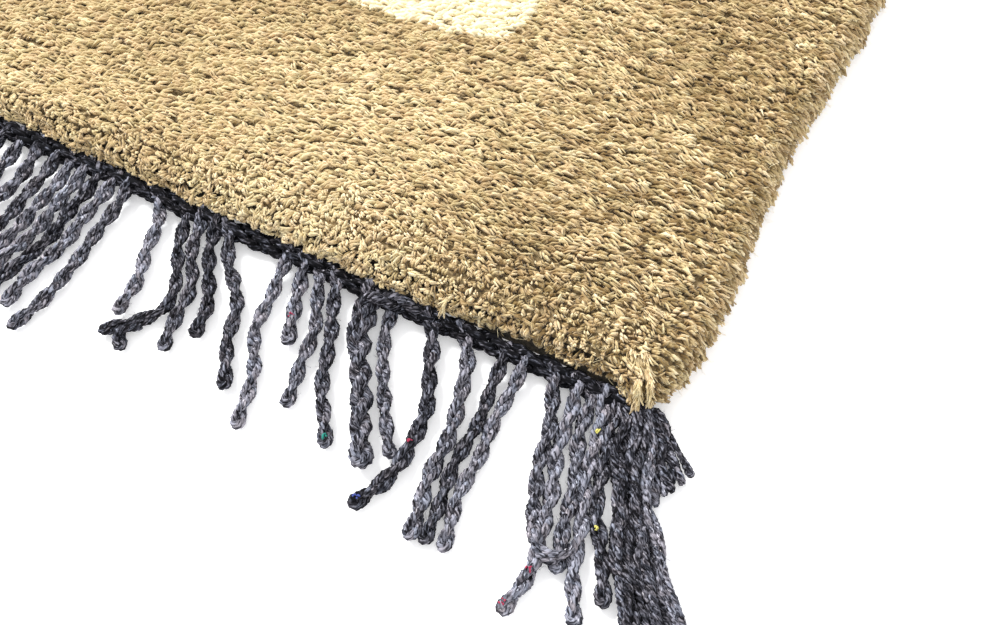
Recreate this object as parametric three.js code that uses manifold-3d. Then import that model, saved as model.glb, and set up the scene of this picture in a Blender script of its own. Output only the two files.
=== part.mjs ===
// A hand-knotted wool rug, 600 x 900 mm, lying flat on a floor.
// Millimetres, +Z up. The origin is the middle of the flat underside, X runs along the
// fringed ends and Y along the warps. The rug is three pieces, 0.3 mm apart:
// - knotted_pile: the woven foundation with its cut wool pile, one slab with a soft, uneven rim
// - fringe_front and fringe_back: the twined cord that ends the weave, with the warps folded
//   back and twisted into separate strands that lie level on the floor

import * as THREE from "three";
import { mergeVertices } from "three/addons/utils/BufferGeometryUtils.js";
import Module from "manifold-3d";

const wasm = await Module();
wasm.setup();

// Driving dimensions
const RUG_WIDTH = 600;
const RUG_LENGTH = 900;
const RUG_THICKNESS = 15;
const RIM_RADIUS = 5.5;
const CORNER_RADIUS = 14;
const FOUNDATION_INSET = 2.2;
const WANDER_DEPTH = 60;
const PIECE_GAP = 0.3;
const CORD_WIDTH = 7;
const CORD_HEIGHT = 6.2;
const CORD_OVERHANG = 3;
const STRAND_WIDTH = 4.6;
const STRAND_HEIGHT = 4.4;
const STRAND_PITCH = 7.3;
const BENT_STEPS = 6;
const PLAIN_STEPS = 3;

const HALF_WIDTH = RUG_WIDTH / 2;
const HALF_LENGTH = RUG_LENGTH / 2;

// The side edges wander a little, and the right one swells out near the front corner
const SIDE_SWELL = { out: 6.5, from_corner: 41, spread: 33 };

// Strands near the front right corner, from the corner inwards, in mm:
// root: place of the root along the end, measured inwards from that corner
// quarter, half, three_quarters, tip: drift to the right of the root at those shares of
// the reach
// reach: how far the tip lies out from the middle of the twined cord
const CORNER_STRANDS = [
  { root: -3.0, quarter: 4.2, half: 8.6, three_quarters: 13.0, tip: 17.5, reach: 11.5, width: 3.2 },
  { root: -2.5, quarter: 3.3, half: 7.1, three_quarters: 11.3, tip: 15.5, reach: 20, width: 3.2 },
  { root: -0.5, quarter: 5.9, half: 13.5, three_quarters: 23.5, tip: 35.0, reach: 57, width: 4.0 },
  { root: 3.0, quarter: 5.4, half: 12.2, three_quarters: 21.0, tip: 30.0, reach: 60, width: 4.0 },
  { root: 6.5, quarter: 5.1, half: 11.2, three_quarters: 18.9, tip: 27.0, reach: 61, width: 4.0 },
  { root: 10.0, quarter: 4.4, half: 9.8, three_quarters: 16.8, tip: 24.0, reach: 62, width: 4.2 },
  { root: 14.0, quarter: 4.1, half: 9.3, three_quarters: 15.2, tip: 22.5, reach: 71, width: 4.4 },
  { root: 18.2, quarter: 2.6, half: 7.5, three_quarters: 12.0, tip: 15.6, reach: 59, width: 4.4 },
  { root: 23.5, quarter: 3.9, half: 9.3, three_quarters: 14.9, tip: 14.5, reach: 77, width: 4.4 },
  { root: 31.5, quarter: 4.5, half: 8.3, three_quarters: 11.9, tip: 15.7, reach: 48, width: 4.6 },
  { root: 41.5, quarter: 1.3, half: 2.9, three_quarters: 4.5, tip: 8.0, reach: 68, width: 4.6 },
  { root: 48.5, quarter: 3.1, half: 4.8, three_quarters: 6.5, tip: 9.9, reach: 68.5, width: 4.6 },
  { root: 60.0, quarter: 6.0, half: 10.2, three_quarters: 13.0, tip: 16.4, reach: 69.5, width: 4.6 },
  { root: 75.0, quarter: 9.2, half: 15.7, three_quarters: 17.8, tip: 13.0, reach: 68.5, width: 4.8 },
  { root: 88.0, quarter: 3.2, half: 8.8, three_quarters: 17.5, tip: 25.5, reach: 49.5, width: 4.6 },
  { root: 96.0, quarter: 4.0, half: 10.8, three_quarters: 20.0, tip: 28.0, reach: 57, width: 6.2 },
  { root: 109.0, quarter: 5.5, half: 12.0, three_quarters: 18.7, tip: 28.0, reach: 55.5, width: 4.8 },
  { root: 115.5, quarter: 4.9, half: 11.2, three_quarters: 13.9, tip: 16.8, reach: 49, width: 4.6 },
  { root: 122.0, quarter: 2.4, half: 5.0, three_quarters: 8.4, tip: 12.0, reach: 30, width: 5.0 },
  { root: 127.5, quarter: 2.3, half: 6.5, three_quarters: 15.1, tip: 20.5, reach: 62.5, width: 4.6 },
  { root: 151.0, quarter: 7.5, half: 19.5, three_quarters: 24.7, tip: 32.0, reach: 53, width: 4.8 },
  { root: 156.5, quarter: 4.1, half: 9.9, three_quarters: 16.3, tip: 19.5, reach: 41.5, width: 4.8 },
  { root: 162.0, quarter: 4.0, half: 11.8, three_quarters: 15.4, tip: 19.0, reach: 50, width: 4.6 },
  { root: 168.0, quarter: 5.4, half: 13.0, three_quarters: 15.8, tip: 4.5, reach: 54, width: 4.4 },
  { root: 180.0, quarter: 7.2, half: 9.8, three_quarters: 14.2, tip: 16.4, reach: 45.5, width: 4.6 },
  { root: 191.5, quarter: 1.9, half: 2.9, three_quarters: 4.5, tip: 1.5, reach: 66, width: 4.6 },
  { root: 197.5, quarter: 0.5, half: 1.3, three_quarters: 0.1, tip: -0.1, reach: 60, width: 4.8 },
  { root: 203.5, quarter: 0.5, half: 1.5, three_quarters: 0.1, tip: -2.5, reach: 61, width: 4.8 },
  { root: 209.5, quarter: 0.9, half: 1.7, three_quarters: -0.1, tip: -3.5, reach: 60, width: 4.6 },
  { root: 215.0, quarter: 0.8, half: 1.4, three_quarters: -0.6, tip: -4.4, reach: 62, width: 4.6 },
  { root: 221.5, quarter: 1.3, half: 1.5, three_quarters: -0.5, tip: -4.5, reach: 60, width: 4.6 },
  { root: 229.0, quarter: 1.8, half: 1.2, three_quarters: -0.4, tip: -3.4, reach: 64, width: 4.8 },
  { root: 236.5, quarter: 1.1, half: 1.3, three_quarters: 0.1, tip: -2.9, reach: 62, width: 4.8 },
];

// A fixed number between 0 and 1 for each count and kind
function chance(count, kind) {
  const value = Math.sin(count * 12.9898 + kind * 78.233) * 43758.5453;
  return value - Math.floor(value);
}

// Strands of the plain stretches: even pitch, leaning in slow waves, none of them crossing
function plainStrands(firstRoot, seed) {
  const strands = [];
  let root = firstRoot;
  for (let count = 1; root < RUG_WIDTH + 1; count += 1) {
    const lean = 9 * Math.sin(root / 58 + seed) + 2 * (chance(count, seed) - 0.5);
    strands.push({
      root,
      quarter: 0.2 * lean,
      half: 0.5 * lean,
      three_quarters: 0.8 * lean,
      tip: lean,
      reach: 58 + 14 * chance(count, seed + 1),
      width: STRAND_WIDTH + 0.8 * (chance(count, seed + 2) - 0.5),
      bends: false,
    });
    root += STRAND_PITCH + 1.4 * (chance(count, seed + 3) - 0.5);
  }
  return strands;
}

// Shared vertices merged, so that manifold-3d can join the closed pieces
function solidOf(geometry) {
  const bare = geometry.clone();
  bare.deleteAttribute("normal");
  bare.deleteAttribute("uv");
  const merged = mergeVertices(bare, 1e-4);
  return new wasm.Manifold(
    new wasm.Mesh({
      numProp: 3,
      vertProperties: new Float32Array(merged.attributes.position.array),
      triVerts: new Uint32Array(merged.index.array),
    }),
  );
}

function geometryOf(solid) {
  const mesh = solid.getMesh();
  const geometry = new THREE.BufferGeometry();
  geometry.setAttribute("position", new THREE.BufferAttribute(mesh.vertProperties, 3));
  geometry.setIndex(new THREE.BufferAttribute(mesh.triVerts, 1));
  geometry.computeVertexNormals();
  return geometry;
}

// Grid lines across one direction: close together at the rim, wide apart in the middle
function gridLines(halfSpan, innerCells) {
  const rim = [0, 1.6, 4.5, 15];
  const inner = halfSpan - rim[rim.length - 1];
  const lines = rim.map((inset) => -halfSpan + inset);
  for (let cell = 1; cell < innerCells; cell += 1) {
    lines.push(-inner + (2 * inner * cell) / innerCells);
  }
  return lines.concat(rim.map((inset) => halfSpan - inset).reverse());
}

// How far the right (+1) or left (-1) edge stands out at a place along the rug
function sideWander(side, y) {
  const wander = 1.1 * Math.sin(y / 47 + side) + 0.8 * Math.sin(y / 21 + 2 * side);
  const fromCorner = y + HALF_LENGTH - SIDE_SWELL.from_corner;
  const swell = SIDE_SWELL.out * Math.exp(-((fromCorner / SIDE_SWELL.spread) ** 2) / 2);
  return side > 0 ? wander + swell : wander;
}

// The knotted slab: a box whose grid is rounded at the rim and corners and made uneven on top
function pileGeometry() {
  const linesX = gridLines(HALF_WIDTH, 14);
  const linesY = gridLines(HALF_LENGTH, 24);
  const wallHeights = [0, 4, RUG_THICKNESS - RIM_RADIUS];
  const cellsX = linesX.length - 1;
  const cellsY = linesY.length - 1;
  const cellsZ = wallHeights.length - 1;
  const geometry = new THREE.BoxGeometry(1, 1, 1, cellsX, cellsY, cellsZ);
  const position = geometry.attributes.position;
  for (let index = 0; index < position.count; index += 1) {
    const row = Math.round((position.getZ(index) + 0.5) * cellsZ);
    const flatX = linesX[Math.round((position.getX(index) + 0.5) * cellsX)];
    const flatY = linesY[Math.round((position.getY(index) + 0.5) * cellsY)];
    const inset = Math.min(HALF_WIDTH - Math.abs(flatX), HALF_LENGTH - Math.abs(flatY));
    let z = wallHeights[row];
    if (row === cellsZ) {
      const reach = Math.max(0, RIM_RADIUS - inset);
      z += Math.sqrt(RIM_RADIUS ** 2 - reach ** 2);
      const calm = Math.min(1, inset / 40);
      z += calm * 0.7 * Math.sin(flatX / 31 + flatY / 83) * Math.cos(flatY / 37 - flatX / 97);
    }
    // The weave's edge lies a little inside the rim of the pile that hangs over it
    const tuck = FOUNDATION_INSET * (1 - Math.min(1, row / 2));
    const [x, y] = planPlace(flatX, flatY, tuck);
    position.setXYZ(index, x, y, z);
  }
  return geometryOf(solidOf(geometry));
}

// A place of the straight plan grid on the real plan: corners rounded, side edges wandering,
// and the sides drawn in by the tuck
function planPlace(flatX, flatY, tuck) {
  const [roundX, y] = roundedCorner(flatX, flatY);
  const side = Math.sign(flatX);
  const nearSide = Math.max(0, 1 - (HALF_WIDTH - Math.abs(flatX)) / WANDER_DEPTH);
  const x = roundX + side * nearSide * sideWander(side, flatY);
  return [x * (1 - tuck / HALF_WIDTH), y];
}

// Square corners of the plan drawn in to quarter circles
function roundedCorner(x, y) {
  const alongX = (Math.abs(x) - (HALF_WIDTH - CORNER_RADIUS)) / CORNER_RADIUS;
  const alongY = (Math.abs(y) - (HALF_LENGTH - CORNER_RADIUS)) / CORNER_RADIUS;
  if (alongX <= 0 || alongY <= 0) {
    return [x, y];
  }
  const discX = alongX * Math.sqrt(1 - alongY ** 2 / 2);
  const discY = alongY * Math.sqrt(1 - alongX ** 2 / 2);
  return [
    Math.sign(x) * (HALF_WIDTH - CORNER_RADIUS + CORNER_RADIUS * discX),
    Math.sign(y) * (HALF_LENGTH - CORNER_RADIUS + CORNER_RADIUS * discY),
  ];
}

// A closed bar with the given section, swept along points that lie at one height. The sweep
// turns the section so that its x runs downwards and its y across the bar.
function sweptBar(section, points, steps) {
  const shape = new THREE.Shape(section.map(([down, across]) => new THREE.Vector2(down, across)));
  const extrudePath = new THREE.CatmullRomCurve3(points);
  return new THREE.ExtrudeGeometry(shape, { steps, extrudePath, bevelEnabled: false });
}

// The twined cord along one end: flat below and rounded above
function cordGeometry() {
  const half = CORD_WIDTH / 2;
  const mid = CORD_HEIGHT / 2;
  const section = [
    [mid, -half * 0.8],
    [mid, half * 0.8],
    [0.1 * mid, half],
    [-0.75 * mid, half * 0.65],
    [-mid, 0],
    [-0.75 * mid, -half * 0.65],
    [0.1 * mid, -half],
  ];
  const end = HALF_WIDTH + CORD_OVERHANG;
  return sweptBar(section, [new THREE.Vector3(-end, 0, mid), new THREE.Vector3(end, 0, mid)], 1);
}

// One twisted strand as a four-sided bar that rests on the floor
function strandGeometry(strand, steps) {
  const half = strand.width / 2;
  const mid = STRAND_HEIGHT / 2;
  const section = [
    [mid, -half * 0.85],
    [mid, half * 0.85],
    [-mid, half * 0.7],
    [-mid, -half * 0.7],
  ];
  const rootX = HALF_WIDTH - strand.root;
  const drifts = [0, strand.quarter, strand.half, strand.three_quarters, strand.tip];
  const points = drifts.map(
    (drift, count) => new THREE.Vector3(rootX + drift, (-strand.reach * count) / 4, mid),
  );
  return sweptBar(section, points, steps);
}

// The cord and its strands as one solid, drawn at the front end
function fringeGeometry(strands) {
  let fringe = solidOf(cordGeometry());
  for (const strand of strands) {
    fringe = fringe.add(solidOf(strandGeometry(strand, strand.bends ? BENT_STEPS : PLAIN_STEPS)));
  }
  return geometryOf(fringe);
}

const wool = new THREE.MeshStandardMaterial({ color: 0xb79c6c, roughness: 0.95, metalness: 0 });
const yarn = new THREE.MeshStandardMaterial({ color: 0x45464e, roughness: 0.9, metalness: 0 });

function namedMesh(name, geometry, material) {
  const mesh = new THREE.Mesh(geometry, material);
  mesh.name = name;
  return mesh;
}

const rug = new THREE.Group();
rug.name = "knotted_rug";
rug.add(namedMesh("knotted_pile", pileGeometry(), wool));

const cordFromMiddle = HALF_LENGTH + PIECE_GAP + CORD_WIDTH / 2;
const lastCornerRoot = CORNER_STRANDS[CORNER_STRANDS.length - 1].root;
const bentStrands = CORNER_STRANDS.map((strand) => ({ ...strand, bends: true }));
const frontStrands = bentStrands.concat(plainStrands(lastCornerRoot + STRAND_PITCH, 3));
const fringeFront = namedMesh("fringe_front", fringeGeometry(frontStrands), yarn);
fringeFront.position.y = -cordFromMiddle;
rug.add(fringeFront);

const fringeBack = namedMesh("fringe_back", fringeGeometry(plainStrands(-1, 11)), yarn);
fringeBack.position.y = cordFromMiddle;
fringeBack.rotation.z = Math.PI;
rug.add(fringeBack);

export default rug;
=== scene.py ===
import math

import bpy
import numpy as np
from mathutils import Matrix


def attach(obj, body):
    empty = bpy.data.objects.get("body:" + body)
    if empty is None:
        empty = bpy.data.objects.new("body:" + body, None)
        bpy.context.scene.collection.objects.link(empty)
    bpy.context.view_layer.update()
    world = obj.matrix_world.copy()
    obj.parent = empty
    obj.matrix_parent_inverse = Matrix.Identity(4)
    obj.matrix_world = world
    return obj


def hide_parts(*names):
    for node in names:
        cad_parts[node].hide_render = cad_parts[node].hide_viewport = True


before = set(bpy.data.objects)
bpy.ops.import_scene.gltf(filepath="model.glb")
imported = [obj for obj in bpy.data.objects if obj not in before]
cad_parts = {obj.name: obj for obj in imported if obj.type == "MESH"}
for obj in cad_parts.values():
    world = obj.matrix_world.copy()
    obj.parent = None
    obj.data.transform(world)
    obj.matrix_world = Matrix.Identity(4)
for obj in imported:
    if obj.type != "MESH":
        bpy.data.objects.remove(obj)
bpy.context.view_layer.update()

# The camera looks down on the right front corner of the rug, turned towards the left, from
# about knee height. Sizes are in millimetres all through, and MM turns them into metres.
MM = 0.001
CAMERA_PLACE = (363.0, -665.3, 360.0)
CAMERA_LOOKS_DOWN = 54.6
CAMERA_TURNED_LEFT = 28.3
LENS = 50.04

camera_data = bpy.data.cameras.new("camera")
camera_data.lens = LENS
camera_data.sensor_width = 36.0
camera_data.clip_start = 0.01
camera = bpy.data.objects.new("camera", camera_data)
camera.location = [place * MM for place in CAMERA_PLACE]
camera.rotation_euler = (math.radians(90 - CAMERA_LOOKS_DOWN), 0, math.radians(CAMERA_TURNED_LEFT))
bpy.context.scene.collection.objects.link(camera)
bpy.context.scene.camera = camera

# The studio: a plain near-white floor under bright, soft light from the left and a wide even
# fill, as for a product photograph on a white sweep. Sizes and places of the studio are in metres.
FLOOR_HALF = 6.0
FLOOR_BELOW = 0.0002
FLOOR_COLOUR = (0.94, 0.94, 0.945, 1)
FLOOR_GLOW = 0.28
SKY_COLOUR = (1.0, 1.0, 1.0, 1)
SKY_STRENGTH = 1.0
LIGHTS_AIM = (0.15, -0.35, 0.0)
KEY_LIGHT = {"place": (-3.0, 0.55, 3.4), "size": 1.8, "watts": 372.0}
FILL_LIGHT = {"place": (1.3, -1.8, 1.6), "size": 1.8, "watts": 14.0}


def studio_light(name, light):
    lamp = bpy.data.lights.new(name, "AREA")
    lamp.shape = "SQUARE"
    lamp.size = light["size"]
    lamp.energy = light["watts"]
    lamp_object = bpy.data.objects.new(name, lamp)
    lamp_object.location = light["place"]
    aim = np.array(LIGHTS_AIM) - np.array(light["place"])
    flat = math.hypot(aim[0], aim[1])
    turn = math.atan2(aim[1], aim[0]) - math.pi / 2
    lamp_object.rotation_euler = (math.atan2(flat, -aim[2]), 0, turn)
    bpy.context.scene.collection.objects.link(lamp_object)


def new_material(name, roughness):
    """A new material with its nodes, its links and its shader."""
    material = bpy.data.materials.new(name)
    material.use_nodes = True
    nodes = material.node_tree.nodes
    shader = nodes["Principled BSDF"]
    shader.inputs["Roughness"].default_value = roughness
    return material, nodes, material.node_tree.links, shader


studio_light("key_light", KEY_LIGHT)
studio_light("fill_light", FILL_LIGHT)

floor_mesh = bpy.data.meshes.new("floor")
floor_corners = [(-1, -1), (1, -1), (1, 1), (-1, 1)]
floor_points = [(x * FLOOR_HALF, y * FLOOR_HALF, -FLOOR_BELOW) for x, y in floor_corners]
floor_mesh.from_pydata(floor_points, [], [(0, 1, 2, 3)])
floor = bpy.data.objects.new("floor", floor_mesh)
bpy.context.scene.collection.objects.link(floor)
floor_material, _, _, floor_shader = new_material("white_floor", 0.9)
floor_shader.inputs["Base Color"].default_value = FLOOR_COLOUR
floor_shader.inputs["Emission Color"].default_value = FLOOR_COLOUR
floor_shader.inputs["Emission Strength"].default_value = FLOOR_GLOW
floor_mesh.materials.append(floor_material)

sky = bpy.data.worlds.new("studio")
sky.use_nodes = True
sky.node_tree.nodes["Background"].inputs["Color"].default_value = SKY_COLOUR
sky.node_tree.nodes["Background"].inputs["Strength"].default_value = SKY_STRENGTH
bpy.context.scene.world = sky
bpy.context.scene.view_settings.view_transform = "Standard"

# The fringe: where the knotting ends, a thick charcoal cord is twined across the warps at
# each end. The warps leave it as strands of two plies twisted by hand, each ply of two hard
# spun singles, and end in a round loop. At the front right corner a few are left unplied.
RUG_HALF_WIDTH = 300.0
RUG_HALF_LENGTH = 450.0
CORD_FROM_MIDDLE = RUG_HALF_LENGTH + 3.8
CORD = {"centre": 4.0, "out": 0.7, "plies": 3, "ply_offset": 1.95, "pitch": 30.0}
CORD_SINGLES = {"offset": 0.72, "radius": 1.25, "pitch": 9.0}
STRAND = {"centre": 2.75, "ply_offset": 1.15, "pitch": 19.5, "loop": 2.0}
STRAND_SINGLES = {"offset": 0.47, "radius": 1.07, "pitch": 3.6}
UNTWISTED_WITHIN = 7.0
UNTWISTED_PITCH = 34.0
SINGLE_STEP = 0.68
PLAIN_STEP = 2.7
PLAIN_PITCH = 7.3
NOMINAL_WIDTH = 4.8

# How a strand leaves the cord, how far it swings from side to side, and how an untwisted one lifts
LEAVES_CORD = {"inside": 1.2, "root_rise": 2.6, "at": 5.0, "rise": 1.3, "settles": 0.15}
SWING = {"twisted": 0.45, "untwisted": 1.3, "lift": 1.3, "grows_over": 12}

# The cord is darker than the strands: partly its own darker yarn, partly painted shade where it lies under
# the overhanging pile
CORD_TINT_AND_PAINTED_SHADE = -0.25
ON_FLOOR = 0.1
FUZZ_RADIUS = 0.06
FUZZ_ON_STRAND = 26

# Strands near the front right corner, from the corner inwards, in millimetres:
# root: place of the root along the end, measured inwards from that corner
# quarter, half, three_quarters, tip: drift to the right of the root at those shares of the reach
# reach: how far the tip lies out from the middle of the twined cord
STRAND_COLUMNS = ("root", "quarter", "half", "three_quarters", "tip", "reach", "width")
CORNER_STRANDS = [dict(zip(STRAND_COLUMNS, row)) for row in (
    (-3, 3.6, 7.4, 11.2, 15.2, 13.5, 2.7),
    (-2.5, 3, 6.2, 9.5, 12.8, 19.5, 2.7),
    (-0.5, 5.9, 13.6, 24, 37, 62, 4),
    (3, 5.4, 12.6, 22, 34, 63, 4.9),
    (6.5, 4.6, 12, 19.6, 31.5, 67, 4.6),
    (8.5, 4, 8.2, 12.6, 16.5, 42, 4.4),
    (10, 3.6, 7.4, 15.4, 23.8, 62, 5),
    (14, 4.1, 9.3, 15.2, 22.5, 71, 5),
    (18.2, 2.6, 7.5, 12, 15.6, 59, 5),
    (23.5, 3.9, 9.3, 14.9, 14.5, 77, 5),
    (31.5, 4.5, 8.3, 11.9, 15.7, 48, 5),
    (41.5, 1.3, 2.9, 4.5, 8, 68, 4.6),
    (48.5, 3.1, 4.8, 6.5, 9.9, 68.5, 4.6),
    (62.5, 8.5, 12.7, 15.5, 18.9, 69.5, 5.2),
    (75, 9.2, 15.7, 17.8, 13, 68.5, 5.2),
    (88, 3.2, 8.8, 17.5, 25.5, 49.5, 4.6),
    (96, 4, 10.8, 20, 28, 57, 7.2),
    (109, 5.5, 12, 18.7, 28, 55.5, 4.8),
    (115.5, 4.9, 11.2, 13.9, 16.8, 49, 4.6),
    (122, 2.4, 5, 8.4, 12, 30, 5),
    (127.5, 2.3, 6.5, 15.1, 20.5, 62.5, 4.6),
    (151, 7.5, 19.5, 24.7, 32, 53, 4.8),
    (156.5, 4.1, 9.9, 16.3, 19.5, 41.5, 4.8),
    (162, 4, 11.8, 15.4, 19, 50, 4.6),
    (168, 5.4, 13, 15.8, 4.5, 54, 4.4),
    (180, 7.2, 9.8, 14.2, 16.4, 45.5, 4.6),
    (191.5, 1.9, 2.9, 4.5, 1.5, 66, 4.6),
    (197.5, 0.5, 1.3, 0.1, -0.1, 60, 4.8),
    (203.5, 0.5, 1.5, 0.1, -2.5, 61, 4.8),
    (209.5, 0.9, 1.7, -0.1, -3.5, 60, 4.6),
    (215, 0.8, 1.4, -0.6, -4.4, 62, 4.6),
    (221.5, 1.3, 1.5, -0.5, -4.5, 60, 4.6),
    (229, 1.8, 1.2, -0.4, -3.4, 64, 4.8),
    (236.5, 1.1, 1.3, 0.1, -2.9, 62, 4.8),
)]

# Unplied yarns between the strands of the corner, one row for each fan of them, each value
# for its first and its last yarn: the roots and tips as distances inwards from the corner, how
# far the tips reach, and how much the middle of the yarn bows to the right
CORNER_FANS = [
    {"roots": (-2.5, 3.0), "tips": (-17.6, -12.6), "reach": (17, 31), "bow": (0.4, 0.8), "count": 7},
    {"roots": (-1.0, 4.0), "tips": (-38.0, -22.0), "reach": (61, 67), "bow": (-5.8, -2.4), "count": 9},
]

# Yarns that wander over the others: (distance from the corner, reach, height) of each bend
LOOSE_ENDS = {
    "hitch": {"width": 6.4, "bends": [
        (79.0, 0.5, 5.2), (84.5, 2.4, 7.0), (90.0, 4.0, 7.8),
        (94.3, 7.2, 7.0), (94.6, 12.0, 5.4), (91.6, 18.5, 3.4)]},
    "knot": {"width": 4.3, "bends": [
        (14.5, 46.0, 3.2), (12.0, 52.5, 5.2), (7.5, 56.5, 5.6), (3.0, 55.5, 4.6), (1.5, 51.0, 3.2)]},
    "bent_tip": {"width": 4.6, "bends": [
        (155.0, 45.0, 2.8), (157.6, 49.5, 3.2), (157.4, 52.5, 3.0), (155.5, 54.5, 2.6)]},
}


def chance(count, kind):
    """A fixed number between 0 and 1 for each count and kind."""
    return (math.sin(count * 12.9898 + kind * 78.233) * 43758.5453) % 1.0


def plain_strands(first_root, seed):
    """Strands of the plain stretches: even pitch, leaning in slow waves, none of them crossing."""
    strands = []
    root = first_root
    count = 1
    while root < 2 * RUG_HALF_WIDTH + 1:
        lean = 9 * math.sin(root / 58 + seed) + 2 * (chance(count, seed) - 0.5)
        strands.append({
            "root": root,
            "quarter": 0.2 * lean, "half": 0.5 * lean, "three_quarters": 0.8 * lean, "tip": lean,
            "reach": 58 + 14 * chance(count, seed + 1),
            "width": 4.6 + 0.8 * (chance(count, seed + 2) - 0.5),
        })
        root += PLAIN_PITCH + 1.4 * (chance(count, seed + 3) - 0.5)
        count += 1
    return strands


def smooth_path(points, step):
    """A path of evenly spaced points on a smooth curve through a few given ones."""
    points = np.asarray(points, float)
    ends = np.vstack([2 * points[0] - points[1], points, 2 * points[-1] - points[-2]])
    fine = []
    for k in range(len(points) - 1):
        a, b, c, d = ends[k:k + 4]
        t = np.linspace(0, 1, 24, endpoint=False)[:, None]
        bend = (2 * a - 5 * b + 4 * c - d) * t**2 + (3 * b - a - 3 * c + d) * t**3
        fine.append(0.5 * (2 * b + (c - a) * t + bend))
    fine = np.vstack(fine + [points[-1:]])
    along = np.concatenate([[0], np.cumsum(np.linalg.norm(np.diff(fine, axis=0), axis=1))])
    even = np.linspace(0, along[-1], max(4, int(along[-1] / step)))
    return np.column_stack([np.interp(even, along, fine[:, axis]) for axis in range(3)])


def path_frame(path, up=(0.0, 0.0, 1.0)):
    """At each point of the paths (..., points, 3): the ways ahead, across and above."""
    ahead = np.gradient(path, axis=-2)
    ahead /= np.linalg.norm(ahead, axis=-1, keepdims=True) + 1e-12
    across = np.cross(ahead, np.broadcast_to(up, path.shape))
    across /= np.linalg.norm(across, axis=-1, keepdims=True) + 1e-12
    above = np.cross(across, ahead)
    return ahead, across, above


def wound(path, offset, pitch, start):
    """A path wound round another, a turn in each pitch: right-handed, or left-handed if negative."""
    ahead, across, above = path_frame(path)
    step = np.linalg.norm(np.diff(path, axis=0), axis=1)
    along = np.concatenate([[0], np.cumsum(step)])
    angle = start - 2 * np.pi * along / pitch
    return path + offset * (np.cos(angle)[:, None] * across + np.sin(angle)[:, None] * above)


class Yarns:
    """Closed tubes gathered into one mesh, with what the materials need to know of each point."""

    def __init__(self):
        self.points, self.quads, self.tris, self.places, self.tints = [], [], [], [], []
        self.count = 0

    def add(self, paths, radii, sides, up=(0.0, 0.0, 1.0), tint=0.5, flutes=1.0, root_shade=0.0):
        """Tubes along paths (tubes, rings, 3) with radii (tubes, rings), each with a blunt tip.

        Flutes make the sides uneven, and the given amount is added to the tint towards the root: painted
        shade, darker where the roots lie in the depth of the pile.
        """
        paths = np.asarray(paths, float)
        tubes, rings, _ = paths.shape
        radii = np.broadcast_to(radii, (tubes, rings))
        up = np.asarray(up, float)
        if up.ndim == 2:
            up = up[:, None, :]
        ahead, across, above = path_frame(paths, up)
        angle = np.arange(sides) * 2 * np.pi / sides
        wall = radii[:, :, None] * np.broadcast_to(flutes, (tubes, sides))[:, None, :]
        ring = paths[:, :, None] + wall[..., None] * (
            np.cos(angle)[:, None] * across[:, :, None] + np.sin(angle)[:, None] * above[:, :, None])
        tip = paths[:, -1] + ahead[:, -1] * radii[:, -1:] * 0.75
        points = np.concatenate([ring.reshape(tubes, -1, 3), tip[:, None]], axis=1)
        step = np.linalg.norm(np.diff(paths, axis=1), axis=2)
        along = np.concatenate([np.zeros((tubes, 1)), np.cumsum(step, axis=1)], axis=1)
        lengthwise = np.repeat(along[:, :, None], sides, axis=2)
        unrolled = np.stack([wall * np.cos(angle), wall * np.sin(angle), lengthwise], axis=-1)
        last = np.stack([np.zeros(tubes), np.zeros(tubes), along[:, -1] + radii[:, -1]], axis=-1)
        places = np.concatenate([unrolled.reshape(tubes, -1, 3), last[:, None]], axis=1)
        places = places + (np.arange(tubes)[:, None, None] * 7.31 + len(self.points) * 3.7) % 900
        each = rings * sides + 1
        starts = (self.count + np.arange(tubes) * each)[:, None, None]
        ring_index, side_index = np.meshgrid(np.arange(rings - 1), np.arange(sides), indexing="ij")
        a = (ring_index * sides + side_index).ravel()
        b = (ring_index * sides + (side_index + 1) % sides).ravel()
        quads = np.stack([a, a + sides, b + sides, b], axis=1)
        last_ring = (rings - 1) * sides + np.arange(sides)
        tip_tris = np.stack([np.roll(last_ring, -1), last_ring, np.full(sides, each - 1)], axis=1)
        root_tris = np.array([[0, k, k + 1] for k in range(1, sides - 1)])
        self.quads.append((quads[None] + starts).reshape(-1, 4))
        self.tris.append((np.vstack([tip_tris, root_tris])[None] + starts).reshape(-1, 3))
        self.points.append(points.reshape(-1, 3))
        self.places.append(places.reshape(-1, 3))
        painted_shade_at_root = np.reshape(root_shade, (-1, 1)) * np.linspace(1, 0, rings) ** 2
        shade = np.broadcast_to(tint, tubes)[:, None] + painted_shade_at_root
        shade = np.repeat(shade, sides, axis=1)
        self.tints.append(np.concatenate([shade, shade[:, -1:]], axis=1).ravel())
        self.count += tubes * each

    def piece(self, name, material):
        """The gathered tubes as one object with its material."""
        points = np.vstack(self.points) * MM
        points[:, 2] = np.maximum(points[:, 2], ON_FLOOR * MM)
        quads, tris = np.vstack(self.quads), np.vstack(self.tris)
        mesh = bpy.data.meshes.new(name)
        mesh.vertices.add(len(points))
        mesh.vertices.foreach_set("co", points.astype(np.float32).ravel())
        loops = np.concatenate([quads.ravel(), tris.ravel()])
        mesh.loops.add(len(loops))
        mesh.loops.foreach_set("vertex_index", loops.astype(np.int32))
        starts = np.concatenate([np.arange(len(quads)) * 4, len(quads) * 4 + np.arange(len(tris)) * 3])
        mesh.polygons.add(len(starts))
        mesh.polygons.foreach_set("loop_start", starts.astype(np.int32))
        mesh.polygons.foreach_set("use_smooth", np.ones(len(starts), bool))
        place = mesh.attributes.new("yarn_place", "FLOAT_VECTOR", "POINT")
        place.data.foreach_set("vector", np.vstack(self.places).astype(np.float32).ravel())
        tint = mesh.attributes.new("tint", "FLOAT", "POINT")
        tint.data.foreach_set("value", np.concatenate(self.tints).astype(np.float32))
        mesh.update(calc_edges=True)
        mesh.materials.append(material)
        print(f"{name}: {2 * len(quads) + len(tris)} triangles")
        piece = bpy.data.objects.new(name, mesh)
        bpy.context.scene.collection.objects.link(piece)
        return piece


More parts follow.
